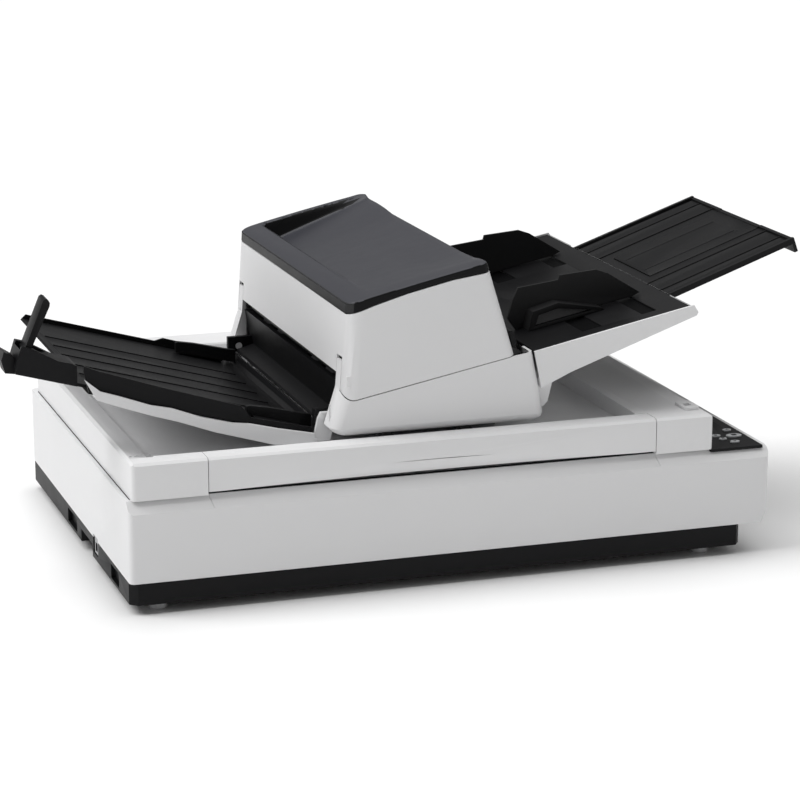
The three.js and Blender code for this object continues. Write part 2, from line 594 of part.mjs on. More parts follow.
function rollerShape(x, z, r, spans, shaft = 3.2) {
  const sleeves = spans.map(([a, b]) => cylinderY(r, x, a, b, z, 20));
  return union([cylinderY(shaft, x, -DECK.y - 3, DECK.y + 3, z, 20), ...sleeves]);
}

const PAIRS = [[-82, -52], [52, 82]];
const WIDE = [[-140, -105], [-82, -52], [52, 82], [105, 140]];
const CENTRE = [[-34, -4], [4, 34]];

function lowerFrame() {
  const under = PATH.map(([x, z]) => [x, z]).reverse();
  const outline = [[-106, 164], [92, 164], ...under];
  const inner = [[-103, 160], [89, 160], [89, 221.5], ...PATH.slice(1, 4).map(([x, z]) => [x, z - DECK.plate]).reverse(),
    [-108, 205.5]];
  const shell = prismY(outline, -DECK.y, DECK.y).subtract(prismY(inner, -DECK.y + 4, DECK.y - 4));
  const slots = [];
  for (const [key, spans] of [['brake', CENTRE], ['feed', PAIRS], ['eject', WIDE]]) {
    const x = ROLLERS[key];
    spans.forEach(([a, b]) => slots.push(box(x - 11, x + 11, a - 1.5, b + 1.5, pathZ(x) - 18, 260)));
    slots.push(cylinderY(3.28, x, -220, 220, pathZ(x) - ROLLERS.r + 0.8, 20));
  }
  slots.push(box(OPTIC.x0 - 0.5, OPTIC.x1 + 0.5, -160.5, 160.5, 190, 230));
  const lugs = [-1, 1].map((s) => {
    const [a, b] = s < 0 ? [-176, -170] : [170, 176];
    return box(-137, -104, a, b, 163.5, 181).subtract(cylinderY(4.2, STACK.pivotX, a - 1, b + 1, STACK.pivotZ, 20));
  });
  const apron = prismY([[-105, 163.6], [-113.6, 163.6], [-113.6, 161.4], [-125, 161.4], [-127.5, 164], [-126.6, 167],
    [-105, 173]], -168, 168);
  return union([cut(shell, slots), apron, ...lugs]);
}

function feedMotor() {
  const can = cylinderY(15, 10, 192, 209, 182, 24);
  return can.add(cylinderY(2.5, 10, 186.5, 193, 182, 16));
}

// ---- chute ----
function chutePoint(x, rise) {
  return [x, 234.2 + (x - 96.6) * Math.tan(CHUTE_SLOPE) + rise];
}

function underLine(x) {
  return 259.7 + (x - 278.3) * Math.tan(EXT_SLOPE);
}

function chuteShell() {
  const outline = [[102, 194.1], [134.3, 208.5], [171.9, 221.8], [278.3, 259.7], [280.3, 263], [275.3, 271.1],
    [93.8, 233.8]];
  const trough = [[90, 206], [108, 203], [134, 212], [171, 225], [277, 262.7], [277, 290], [90, 290]];
  const shell = prismY(outline, -FEED.y, FEED.y).subtract(prismY(trough, -FEED.inner, FEED.inner));
  const mouth = prismY([[176, underLine(176) - 6], [290, underLine(290) - 6], [290, underLine(290) + 9],
    [176, underLine(176) + 9]], -146, 146);
  const tab = prismY([[103.5, 190], [104, 181], [105.9, 172], [109, 169.5], [114.5, 175], [121.5, 204],
    [110, 202.5]], -200, -194);
  const rests = [-1, 1].map((s) => prismY([chutePoint(100, -9), chutePoint(274, -9), chutePoint(274, -5.4),
    chutePoint(100, -5.4)], s < 0 ? -212.5 : 206, s < 0 ? -206 : 212.5));
  return union([shell.subtract(mouth), tab, ...rests]);
}

function hopperTable() {
  const bed = prismY([chutePoint(97, -5), chutePoint(273.5, -5), chutePoint(273.5, -1.6), chutePoint(97, -1.6)],
    -211.3, 211.3);
  const slots = [[158, 180], [226, 242]].flatMap(([a, b]) => [[-189, -70], [70, 189]].map(([c, d]) => prismY(
    [chutePoint(a, -3.9), chutePoint(b, -3.9), chutePoint(b, 3), chutePoint(a, 3)], c, d)));
  return cut(bed, slots);
}

function hopperGuide(s) {
  const span = (a, b) => (s < 0 ? [-b, -a] : [a, b]);
  const wall = prismY([chutePoint(108, -1.2), [98.7, 248.4], [104, 268], [110.2, 281.8], [156.6, 287.5],
    [157.9, 292.5], [200.6, 296.1], [214.2, 291.3], [252.6, 267.6], chutePoint(244, -1.2)], ...span(117, 120));
  const grip = prismY([chutePoint(116, -1.2), [121, 258], [150, 266], [201, 257.5], chutePoint(204, -1.2)],
    ...span(119.5, 137));
  const hollow = prismY([chutePoint(124, 2), [128, 254], [150, 260], [192, 255.5], chutePoint(190, 2)],
    ...span(131.5, 138));
  return wall.add(grip.subtract(hollow));
}

// Plate that follows the chute's underside, drawn flat and turned by its parent group.
function slopeGroup() {
  const group = new THREE.Group();
  group.position.set(278.3, 0, 259.7);
  group.rotation.y = -EXT_SLOPE;
  machine.add(group);
  return group;
}

const EXT = { u0: -34, u1: 162, half0: 139, half1: 137, t: 3, rim: 6.4, lift: 0.4 };
const INNER = { u0: 18, u1: 158, half: 52 };

function extensionOne() {
  const { u0, u1, half0, half1, t, rim, lift } = EXT;
  const outline = [[u0, -half0], [u1, -half1], [u1, half1], [u0, half0]];
  const plate = prismZ(outline, lift, lift + t);
  const rails = [-1, 1].map((s) => prismZ([
    [u0, s * half0], [u1, s * half1], [u1, s * (half1 - 5)], [u0, s * (half0 - 5)]].sort(() => 0), lift, lift + rim));
  const ribs = [];
  for (const y of [-108, -72, 72, 108]) {
    ribs.push(box(u0 + 6, u1 - 4, y - 1, y + 1, lift + t - 0.5, lift + t + 1));
  }
  const lip = box(u1 - 4, u1, -half1, half1, lift - 10, lift + rim - 1);
  const bay = box(INNER.u0 - 1, u1 + 1, -INNER.half - 0.5, INNER.half + 0.5, -20, 20);
  const floor = box(INNER.u0 - 1, u1 - 8, -INNER.half - 1, INNER.half + 1, lift, lift + 1);
  return union([cut(union([plate, ...rails, ...ribs, lip]), [bay]), floor]);
}

function extensionTwo() {
  const { u0, u1, half } = INNER;
  const plate = box(u0, u1, -half, half, EXT.lift + 1.3, EXT.lift + 3.6);
  const ribs = [-28, 28].map((y) => box(u0 + 5, u1 - 20, y - 1, y + 1, EXT.lift + 3, EXT.lift + 4.4));
  const lip = box(u1 - 1, EXT.u1 - 0.4, -half, half, EXT.lift - 9, EXT.lift + 5);
  return union([plate, ...ribs, lip]);
}

// ---- feeder top cover ----
function topShell() {
  const crown = prismY([...crownLine(0), [80, 100], [-140, 100]], -230, 230);
  const inner = prismY([...crownLine(WALL), [80, 100], [-140, 100]], -230, 230);
  const form = loft(UPPER_FORM).intersect(prismY(aboveSeam(SEAM, KNUCKLE.r - GAP), -230, 230));
  const cavity = loft(inset(UPPER_FORM, WALL)).intersect(inner);
  const mouth = box(-140, -100, -POST.y0 + 0.5, POST.y0 - 0.5, 180, 221.5);
  const notch = (s) => box(-140, -108, Math.min(s * 183, s * (POST.y1 + 0.8)), Math.max(s * 183, s * (POST.y1 + 0.8)),
    180, 240.5);
  const entry = box(30, 120, -DECK.y, DECK.y, 200, 262);
  const webs = [-1, 1].map((s) => prismY([[-112, 212], [-96, 212], [-96, 222], [-112, 222]],
    s < 0 ? -FEED.inner - 1 : 206, s < 0 ? -206 : FEED.inner + 1));
  const well = box(WELL.x0, WELL.x1, WELL.y0, WELL.y1, 262, 400);
  const body = cut(form.intersect(crown), [cavity, mouth, notch(-1), notch(1), entry, well]);
  return union([body, ...webs]);
}

// Height of the tray's outer surface at x.
function trayTop(x) {
  const i = Math.min(Math.max(TRAY_LINE.findIndex(([a]) => a > x), 1), TRAY_LINE.length - 1);
  const [ax, az] = TRAY_LINE[i - 1];
  const [bx, bz] = TRAY_LINE[i];
  return az + ((bz - az) * (x - ax)) / (bx - ax);
}

function topTray() {
  const under = [...crownLine(-GAP), [80, 400], [-140, 400]];
  const over = [...TRAY_LINE, [80, 200], [-140, 200]];
  const cap = loft(UPPER_FORM).intersect(prismY(under, -230, 230)).intersect(prismY(over, -230, 230));
  const inCrown = prismY([...crownLine(-GAP - 0.1), [80, 200], [-140, 200]], -230, 230);
  const { x0, x1, y0, y1 } = WELL;
  const belly = trayBowl(2.6).intersect(inCrown).intersect(box(x0 + GAP, x1 - GAP, y0 + GAP, y1 - GAP, 200, 400));
  return cap.add(belly).subtract(trayBowl(0));
}

// Bowl pressed into the tray, grown outwards by skin: steep walls at the left and the back, deepest in
// their corner, running out at the front and over the right edge.
function trayBowl(skin) {
  const ease = (t) => {
    const k = Math.min(Math.max(t, 0), 1);
    return k * k * (3 - 2 * k);
  };
  const across = [0, 0.016, 0.034, 0.055, 0.1, 0.18, 0.27, 0.36, 0.45, 0.54, 0.62, 0.7, 0.78, 0.86, 0.93, 1, 1.2];
  const along = [0, 0.04, 0.09, 0.19, 0.3, 0.4, 0.5, 0.6, 0.69, 0.77, 0.84, 0.9, 0.95, 0.974, 0.983, 0.991, 1];
  const points = [];
  for (const v of along) {
    for (const u of across) {
      const x = BOWL.x0 + u * (BOWL.x1 - BOWL.x0) - skin * (1 - Math.min(u / 0.1, 1));
      const y = BOWL.y0 + v * (BOWL.y1 - BOWL.y0) + skin * Math.max((v - 0.9) / 0.1, 0);
      const side = ease(u / 0.05) * ease(v / 0.14) * ease((1 - v) / 0.022);
      const corner = BOWL.deep * Math.max(1 - u, 0) * v ** 1.5;
      const run = BOWL.run * ease(u * 1.6) * (1 - ease((v - 0.76) / 0.12));
      const edge = u === 0 || v === 0 || v === 1 ? 0.6 : 0;
      points.push([x, y, trayTop(x) + edge - skin - side * (corner + run + 1.4)]);
    }
  }
  return basin(points, along.length, 400);
}

function upperFrame() {
  const low = PATH.slice(0, 4).map(([x, z]) => [Math.max(x, -108), z + 3.4]);
  const outline = [...low, [71, 226], [62, 258], [-104, 258]];
  const cavity = [...low.map(([x, z]) => [Math.min(Math.max(x, -104), 57), z + DECK.plate]), [66, 229], [60, 262],
    [-100, 262]];
  const shell = prismY(outline, -DECK.y + 1, DECK.y - 1).subtract(prismY(cavity, -DECK.y + 5, DECK.y - 5));
  const slots = [];
  for (const [x, spans, r, rise] of UPPER_ROLLERS) {
    spans.forEach(([a, b]) => slots.push(box(x - r - 2, x + r + 2, a - 1.5, b + 1.5, 190, pathZ(x) + r + 8)));
    slots.push(cylinderY(3.28, x, -220, 220, pathZ(x) + rise, 20));
  }
  slots.push(box(OPTIC.x0 - 0.5, OPTIC.x1 + 0.5, -160.5, 160.5, 190, 226));
  return cut(shell, slots);
}

const UPPER_ROLLERS = [
  [52, CENTRE, 10, 11.4], [8, PAIRS, 8, 9.4], [-92, WIDE, 8, 9.4],
];

function releaseLever() {
  const grip = prismY([[71.8, 238], [76.6, 237], [77.6, 243], [72, 256], [68.5, 256]], -205, -188);
  return grip;
}

// ---- stacker ----
const STACK = { y: 185, pivotX: -124, pivotZ: 170, floorX: -372, floorZ: 218.5 };

function stackFloor(x) {
  return STACK.floorZ + (STACK.floorX - x) * Math.tan(STACK_SLOPE);
}

function stackerFrame() {
  const top = [[-380, 233], [-364, 219.5], [-346, 213.5], [-312, 201], [-290, 196], [-260, 184.5], [-227, 175.5],
    [-208, 173], [-177.5, 165.2], [-139, 157]];
  const bottom = [[-139, 146.5], [-182, 148.5], [-246, 167.5], [-285, 182], [-312.5, 190.5], [-350, 204], [-368, 211]];
  const plate = [...bottom.slice().reverse(), [-139, 149.3], ...[[-182, 151.5], [-246, 170.5], [-285, 185],
    [-312.5, 193.5], [-350, 207], [-369, 214.2]]];
  const low = [[-374, 218.6], [-364, 217.4], [-290, 196.5], ...top.slice(5)];
  const walls = [prismY([...top, ...bottom], -STACK.y, -STACK.y + 3.5),
    prismY([...low, ...bottom], STACK.y - 3.5, STACK.y)];
  const floor = prismY(plate, -STACK.y + 1, STACK.y - 1);
  const ears = [-1, 1].map((s) => prismY([[-139.5, 147.5], [-134, 172], [-131, 178], [-118, 178], [-118, 160],
    [-121, 147.5]], s < 0 ? -STACK.y + 3.5 : STACK.y - 8.3, s < 0 ? -STACK.y + 8.3 : STACK.y - 3.5));
  const joins = [-1, 1].map((s) => box(-150, -136, s < 0 ? -STACK.y + 1 : STACK.y - 8.3,
    s < 0 ? -STACK.y + 8.3 : STACK.y - 1, 147.6, 151.5));
  const pins = [-1, 1].map((s) => cylinderY(4, STACK.pivotX, s < 0 ? -178 : 170, s < 0 ? -170 : 178, STACK.pivotZ, 20));
  const studs = [-1, 1].map((s) => cylinderY(2.6, -130, s < 0 ? -182.4 : 181, s < 0 ? -181 : 182.4, 173.4, 14));
  return union([...walls, floor, ...ears, ...joins, ...pins, ...studs]);
}

function stackerTray() {
  const line = (x, d) => [x, stackFloor(x) + d];
  const floor = prismY([line(-142, -2.4), line(-142, 0), line(-374, 0), line(-376, -2.4)], -179.4, 179.4);
  const apron = prismY([line(-144, -2.4), line(-144, 0), [-137, 153.8], [-132, 157], [-130.6, 163], [-129, 163],
    [-129, 151.8], [-137, 151.7]], -169, 169);
  const wall = [line(-142, -1), line(-140, 0), [-140, 162.5], [-205, 178], [-216, 191.5], [-297, 217], [-365, 240], [-379, 246],
    [-379.5, 240], line(-375, -1)];
  const lowWall = [...wall.slice(0, 3), [-212, 184], [-222, 181.6], line(-370, 5), line(-375, -1)];
  const walls = [prismY(wall, -179.4, -176.4), prismY(lowWall, 176.4, 179.4)];
  const ribs = [-90, -45, 0, 45, 90].map((y) => prismY([line(-150, -0.5), line(-150, 1), line(-366, 1),
    line(-366, -0.5)], y - 1.2, y + 1.2));
  return union([floor, apron, ...walls, ...ribs]);
}

function stackerGuide(s) {
  const line = (x, d) => [x, stackFloor(x) + d];
  const span = (a, b) => (s < 0 ? [-b, -a] : [a, b]);
  const wall = prismY([line(-134, 4), [-134, 170.5], [-143, 172], [-182, 181.5], [-201, 184.8], [-204, 184], line(-204, 1.4)],
    ...span(149.5, 156));
  const foot = prismY([line(-148, 1.4), line(-148, 5), line(-198, 5), line(-198, 1.4)], ...span(155.5, 168));
  return wall.add(foot);
}

function stackerExtension() {
  const tan = Math.tan(STACK_SLOPE);
  const low = (x) => stackFloor(x) + 0.6;
  const beam = [[-384, low(-384)], [-447, low(-447)], [-446.6, 248], [-440, 268.2], [-429, 265.2], [-403, 250.4],
    [-389, 246.8], [-384, 244]];
  const tongue = [[-300, low(-300)], [-388, low(-388)], [-388, low(-388) + 3.6], [-300, low(-300) + 3.6]];
  const lip = [[-444, low(-444) - 1], [-456, 240], [-459.5, 253], [-456.5, 262.5], [-446, 255 + 2 * tan]];
  const beamSolid = prismY(beam, -168, -128);
  const hollow = prismY([[-392, low(-392) + 3], [-438, low(-438) + 3], [-434, 259], [-427, 259], [-403, 246],
    [-392, 243]], -165, -131).intersect(box(-470, -380, -165, -131, 200, 300));
  const hingeSlot = box(-441, -425, -163.5, -136.5, 258, 280).add(box(-430, -408, -163.5, -136.5, 254.5, 280));
  return cut(union([beamSolid, prismY(tongue, -166, -130), prismY(lip, -160, -136)]), [hollow, hingeSlot]);
}

function stackerStopper() {
  const post = prismY([[-436.5, 262], [-430.5, 260.5], [-409, 306.5], [-408.6, 310], [-410.2, 313],
    [-412.6, 314.3], [-415.2, 312.8]], -162.3, -137.7);
  const boss = cylinderY(3.2, -433.4, -163.2, -136.8, 262.6, 16);
  return post.add(boss);
}

function buildFeeder() {
  const sled = [box(-96, 74, -150, 150, RECESS.z + GAP, 146), box(-70, 48, -120, 120, 145, 158.4)];
  sled.push(box(-110, 88, -199, -186, RECESS.z + GAP, 148), box(-110, 88, 186, 199, RECESS.z + GAP, 148));
  sled.push(box(-60, -48, -190, 190, RECESS.z + GAP, 145), box(28, 40, -190, 190, RECESS.z + GAP, 145));
  place('slide_sled', cut(union(sled), [cylinderZ(40, -11, 0, 120, 170, 32)]), 'grey');
  place('feeder_base', feederBase(), 'white');
  place('lower_frame', lowerFrame(), 'black');
  const z = (x) => pathZ(x) - ROLLERS.r + 0.8;
  place('brake_roller', rollerShape(ROLLERS.brake, z(ROLLERS.brake), ROLLERS.r, CENTRE), 'rubber');
  place('feed_roller', rollerShape(ROLLERS.feed, z(ROLLERS.feed), ROLLERS.r, PAIRS), 'rubber');
  place('eject_roller', rollerShape(ROLLERS.eject, z(ROLLERS.eject), ROLLERS.r, WIDE), 'rubber');
  place('lower_scan_unit', box(OPTIC.x0, OPTIC.x1, -160, 160, 178, pathZ(-34) - 0.4), 'lens');
  place('feed_motor', feedMotor(), 'steel');
  place('chute_shell', chuteShell(), 'white');
  place('hopper_table', hopperTable(), 'black');
  place('hopper_guide_front', hopperGuide(-1), 'black');
  place('hopper_guide_rear', hopperGuide(1), 'black');
  const slope = slopeGroup();
  place('chute_extension', extensionOne(), 'black', slope);
  place('chute_extension_tip', extensionTwo(), 'black', slope);
  place('top_shell', topShell(), 'white');
  place('top_tray', topTray(), 'dark');
  place('upper_frame', upperFrame(), 'black');
  const names = ['pick_roller', 'feed_idler', 'eject_idler'];
  UPPER_ROLLERS.forEach(([x, spans, r, rise], i) => {
    const roller = union([cylinderY(3.2, x, -DECK.y + 1.5, DECK.y - 1.5, pathZ(x) + rise, 20),
      ...spans.map(([a, b]) => cylinderY(r, x, a, b, pathZ(x) + rise, 20))]);
    place(names[i], roller, 'rubber');
  });
  place('upper_scan_unit', box(OPTIC.x0, OPTIC.x1, -160, 160, pathZ(-34) + 3.6, 236), 'lens');
  place('release_lever', releaseLever(), 'black');
}

function buildStacker() {
  place('stacker_frame', stackerFrame(), 'white');
  place('stacker_tray', stackerTray(), 'black');
  place('stacker_guide_front', stackerGuide(-1), 'black');
  place('stacker_guide_rear', stackerGuide(1), 'black');
  place('stacker_extension', stackerExtension(), 'black');
  place('stacker_stopper', stackerStopper(), 'black');
}

buildBase();
buildCover();
buildFeeder();
buildStacker();

const group = new THREE.Group();
group.add(machine);
export default group;
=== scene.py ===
import json
import math

import bmesh
import bpy
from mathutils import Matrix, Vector


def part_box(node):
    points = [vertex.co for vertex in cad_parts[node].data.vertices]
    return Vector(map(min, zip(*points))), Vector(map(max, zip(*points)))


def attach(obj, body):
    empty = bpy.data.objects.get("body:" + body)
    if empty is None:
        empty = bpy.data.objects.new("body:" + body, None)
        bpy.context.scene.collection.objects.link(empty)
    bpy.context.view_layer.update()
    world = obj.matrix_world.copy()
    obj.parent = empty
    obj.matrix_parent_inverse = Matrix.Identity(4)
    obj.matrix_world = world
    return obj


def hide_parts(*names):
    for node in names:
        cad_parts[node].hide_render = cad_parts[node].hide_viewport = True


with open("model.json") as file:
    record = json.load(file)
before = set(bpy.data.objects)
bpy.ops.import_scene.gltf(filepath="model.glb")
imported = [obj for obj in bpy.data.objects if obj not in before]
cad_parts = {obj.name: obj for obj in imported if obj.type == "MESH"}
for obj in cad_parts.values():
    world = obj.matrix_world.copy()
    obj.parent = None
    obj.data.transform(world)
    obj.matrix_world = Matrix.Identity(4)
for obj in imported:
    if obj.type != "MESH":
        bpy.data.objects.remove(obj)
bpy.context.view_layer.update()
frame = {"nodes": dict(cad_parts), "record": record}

SHIFT_X = 0.0127          # base centre to the origin, as in the CAD
RAIL_TOP = 0.1573         # height of the cover's rails
CHUTE_RISE = 0.2068       # slope of the chute's bed
WELD = 2e-6               # vertices nearer than this are one
FLAT_ANGLE = 0.6          # degrees under which faces count as flat
SHARP_ANGLE = 35.0        # degrees over which an edge is shaded sharp
BEVEL_ANGLE = 32.0        # degrees over which an edge is rounded
SHAFT_RADIUS = 0.0036     # plated shaft ends inside the rubber sleeves
GRIP_PANEL_Y = 0.1315     # the hopper guides' inlaid panels
NODES = frame["nodes"]
RECORD = frame["record"]
BODY_OF = {n: b for b, ns in RECORD["behaviour"]["bodies"].items() for n in ns}
SLOT_OF = {s["node"]: s["material_slot"] for s in RECORD["subparts"]}


# ---------------------------------------------------------------- materials
def node_tree(name):
    mat = bpy.data.materials.new(name)
    mat.use_nodes = True
    tree = mat.node_tree
    return mat, tree, tree.nodes["Principled BSDF"]


def add(tree, kind, **values):
    node = tree.nodes.new(kind)
    for key, value in values.items():
        setattr(node, key, value)
    return node


def noise(tree, coord, scale, detail=3.0, rough=0.55):
    n = add(tree, "ShaderNodeTexNoise")
    n.inputs["Scale"].default_value = scale
    n.inputs["Detail"].default_value = detail
    n.inputs["Roughness"].default_value = rough
    tree.links.new(coord, n.inputs["Vector"])
    return n.outputs["Fac"]


def ramp(tree, fac, stops):
    r = add(tree, "ShaderNodeValToRGB")
    elements = r.color_ramp.elements
    while len(elements) < len(stops):
        elements.new(0.5)
    for element, (pos, colour) in zip(elements, stops):
        element.position = pos
        element.color = (*colour, 1.0)
    tree.links.new(fac, r.inputs["Fac"])
    return r.outputs["Color"]


def map_range(tree, fac, low, high):
    m = add(tree, "ShaderNodeMapRange")
    m.inputs["To Min"].default_value = low
    m.inputs["To Max"].default_value = high
    tree.links.new(fac, m.inputs["Value"])
    return m.outputs["Result"]


def bump(tree, height, strength, distance, normal=None):
    b = add(tree, "ShaderNodeBump")
    b.inputs["Strength"].default_value = strength
    b.inputs["Distance"].default_value = distance
    tree.links.new(height, b.inputs["Height"])
    if normal is not None:
        tree.links.new(normal, b.inputs["Normal"])
    return b.outputs["Normal"]


def scaled(colour, k):
    return tuple(min(1.0, c * k) for c in colour)


def moulded(name, colour, rough, grain=2600.0, depth=0.00005, wear=1.12, spread=0.06, coat=0.0, shine=0.5):
    """Moulded plastic: fine spark texture, faint flow marks, soft wear along the edges."""
    mat, tree, bsdf = node_tree(name)
    coord = add(tree, "ShaderNodeTexCoord").outputs["Object"]
    cloud = noise(tree, coord, 9.0, 4.0)
    paler, darker = scaled(colour, 1.0 + spread / 2), scaled(colour, 1.0 - spread / 2)
    tint = ramp(tree, cloud, [(0.25, darker), (0.75, paler)])
    point = add(tree, "ShaderNodeNewGeometry").outputs["Pointiness"]
    edge = add(tree, "ShaderNodeMapRange")
    edge.inputs["From Min"].default_value = 0.52
    edge.inputs["From Max"].default_value = 0.62
    tree.links.new(point, edge.inputs["Value"])
    scuff = add(tree, "ShaderNodeMath", operation="MULTIPLY")
    tree.links.new(edge.outputs["Result"], scuff.inputs[0])
    tree.links.new(noise(tree, coord, 140.0, 3.0), scuff.inputs[1])
    mix = add(tree, "ShaderNodeMix", data_type="RGBA")
    tree.links.new(scuff.outputs[0], mix.inputs["Factor"])
    tree.links.new(tint, mix.inputs["A"])
    mix.inputs["B"].default_value = (*scaled(colour, wear), 1.0)
    tree.links.new(mix.outputs["Result"], bsdf.inputs["Base Color"])
    smudge = noise(tree, coord, 32.0, 5.0, 0.65)
    tree.links.new(map_range(tree, smudge, rough - 0.07, rough + 0.08), bsdf.inputs["Roughness"])
    fine = noise(tree, coord, grain, 2.0)
    tree.links.new(bump(tree, fine, 0.35, depth), bsdf.inputs["Normal"])
    bsdf.inputs["Coat Weight"].default_value = coat
    bsdf.inputs["Specular IOR Level"].default_value = shine
    bsdf.inputs["IOR"].default_value = 1.49
    return mat


def rubber(name, colour):
    mat, tree, bsdf = node_tree(name)
    coord = add(tree, "ShaderNodeTexCoord").outputs["Object"]
    tint = ramp(tree, noise(tree, coord, 60.0), [(0.3, scaled(colour, 0.8)), (0.7, scaled(colour, 1.3))])
    tree.links.new(tint, bsdf.inputs["Base Color"])
    tree.links.new(map_range(tree, noise(tree, coord, 220.0), 0.72, 0.92), bsdf.inputs["Roughness"])
    wave = add(tree, "ShaderNodeTexWave", bands_direction="Y")
    wave.inputs["Scale"].default_value = 260.0
    tree.links.new(coord, wave.inputs["Vector"])
    fine = bump(tree, noise(tree, coord, 1800.0), 0.5, 0.00008)
    tree.links.new(bump(tree, wave.outputs["Fac"], 0.3, 0.00015, fine), bsdf.inputs["Normal"])
    return mat


def steel(name, colour):
    mat, tree, bsdf = node_tree(name)
    coord = add(tree, "ShaderNodeTexCoord").outputs["Object"]
    stretch = add(tree, "ShaderNodeMapping")
    stretch.inputs["Scale"].default_value = (14.0, 900.0, 900.0)
    tree.links.new(coord, stretch.inputs["Vector"])
    lines = noise(tree, stretch.outputs["Vector"], 1.0, 4.0)
    tree.links.new(ramp(tree, lines, [(0.3, scaled(colour, 0.85)), (0.7, scaled(colour, 1.1))]),
                   bsdf.inputs["Base Color"])
    tree.links.new(map_range(tree, lines, 0.22, 0.42), bsdf.inputs["Roughness"])
    tree.links.new(bump(tree, lines, 0.25, 0.00004), bsdf.inputs["Normal"])
    bsdf.inputs["Metallic"].default_value = 1.0
    return mat


def board(name):
    mat, tree, bsdf = node_tree(name)
    coord = add(tree, "ShaderNodeTexCoord").outputs["Object"]
    cells = add(tree, "ShaderNodeTexVoronoi", distance="MANHATTAN")
    cells.inputs["Scale"].default_value = 150.0
    tree.links.new(coord, cells.inputs["Vector"])
    lacquer = ramp(tree, cells.outputs["Distance"], [(0.15, (0.01, 0.07, 0.03)), (0.55, (0.03, 0.2, 0.08))])
    tree.links.new(lacquer, bsdf.inputs["Base Color"])
    tree.links.new(map_range(tree, cells.outputs["Distance"], 0.3, 0.5), bsdf.inputs["Roughness"])
    tree.links.new(bump(tree, cells.outputs["Distance"], 0.3, 0.0001), bsdf.inputs["Normal"])
    return mat


def clear(name, colour):
    mat, tree, bsdf = node_tree(name)
    coord = add(tree, "ShaderNodeTexCoord").outputs["Object"]
    tree.links.new(map_range(tree, noise(tree, coord, 25.0), 0.01, 0.06), bsdf.inputs["Roughness"])
    bsdf.inputs["Base Color"].default_value = (*colour, 1.0)
    bsdf.inputs["Transmission Weight"].default_value = 0.92
    bsdf.inputs["IOR"].default_value = 1.5
    return mat


WHITE = (0.755, 0.755, 0.760)
SATIN = moulded("satin_black", (0.0135, 0.0135, 0.0140), 0.46, 2600.0, 0.00007, 1.9, shine=0.16)
# Painted half shade: a less dark tone for the top tray's left-facing skirt, chosen by which way the faces
# point.
PAINTED_HALF_SHADE = moulded("painted_half_shade_grey", (0.034, 0.034, 0.035), 0.50, 1800.0, 0.00012, 1.6, shine=0.16)
INLAY = moulded("inlay_grey", (0.110, 0.110, 0.112), 0.55, 1500.0, 0.00015, 1.3, shine=0.2)
# Painted shade: a near-black tone for the floors of the hopper table's wells.
WELL_SHADE = moulded("painted_well_shade", (0.0022, 0.0022, 0.0025), 0.6, 2600.0, 0.00005, 1.5, shine=0.05)
# Painted shade: a near-black tone for the top tray's steep and front-facing faces, standing for their shade.
PAINTED_SHADE_BLACK = moulded("painted_shade_black", (0.0050, 0.0050, 0.0055), 0.34, 3000.0, 0.00003, 2.2, shine=0.12)
MATERIALS = {
    "white_plastic": moulded("white_plastic", WHITE, 0.45, spread=0.02, wear=1.05, shine=0.4),
    "charcoal_plastic": moulded("charcoal_plastic", (0.040, 0.041, 0.050), 0.38, 3000.0, 0.00004, 1.8,
                                shine=0.35),
    "black_plastic": moulded("black_plastic", (0.0062, 0.0062, 0.0068), 0.44, 3000.0, 0.00005, 2.4,
                             shine=0.13),
    "grey_plastic": moulded("grey_plastic", (0.36, 0.36, 0.37), 0.42, wear=1.2),
    "key_plastic": moulded("key_plastic", (0.46, 0.47, 0.48), 0.34, wear=1.2),
    "roller_rubber": rubber("roller_rubber", (0.035, 0.035, 0.038)),
    "foot_rubber": rubber("foot_rubber", (0.45, 0.45, 0.46)),
    "plated_steel": steel("plated_steel", (0.60, 0.61, 0.62)),
    "board_green": board("board_green"),
    "clear_glass": clear("clear_glass", (0.93, 0.97, 0.96)),
    "dark_window": moulded("dark_window", (0.010, 0.011, 0.014), 0.12, wear=1.5, coat=0.6),
    "lamp_glass": moulded("lamp_glass", (0.85, 0.87, 0.82), 0.25, wear=1.05),
    "pad_white": moulded("pad_white", (0.86, 0.86, 0.85), 0.75, 1200.0, 0.0001, 1.02),
}


# ---------------------------------------------------------------- pieces
def finish_form(obj, node):
    slot = SLOT_OF[node]
    obj.data.materials.clear()
    obj.data.materials.append(MATERIALS[slot])
    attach(obj, BODY_OF[node])


def new_object(name, bm):
    mesh = bpy.data.meshes.new(name)
    bm.to_mesh(mesh)
    bm.free()
    obj = bpy.data.objects.new(name, mesh)
    bpy.context.collection.objects.link(obj)
    return obj


def smooth(obj):
    for poly in obj.data.polygons:
        poly.use_smooth = True
    obj.data.set_sharp_from_angle(angle=math.radians(SHARP_ANGLE))


def rounded(obj, width, segments, clamp=True):
    mod = obj.modifiers.new("round", "BEVEL")
    mod.width = width
    mod.segments = segments
    mod.limit_method = "ANGLE"
    mod.angle_limit = math.radians(BEVEL_ANGLE)
    mod.use_clamp_overlap = clamp
    mod.harden_normals = True
    mod.miter_outer = "MITER_ARC"


CURVED = {"top_tray": 0.03}          # curved nodes: the angle under which faces count as flat
RIBBED = {"chute_extension", "chute_extension_tip"}     # flat faces round ribs stay as triangles
EDGE = {"base_shell": 0.0022, "cover_shell": 0.0026, "cover_handle": 0.0022, "feeder_base": 0.0012,
        "top_shell": 0.0012, "top_tray": 0.0018, "chute_shell": 0.0010, "stacker_frame": 0.0009,
        "bottom_pan": 0.0012, "hopper_table": 0.0006, "stacker_tray": 0.0006}
DEFAULT_EDGE = 0.0005


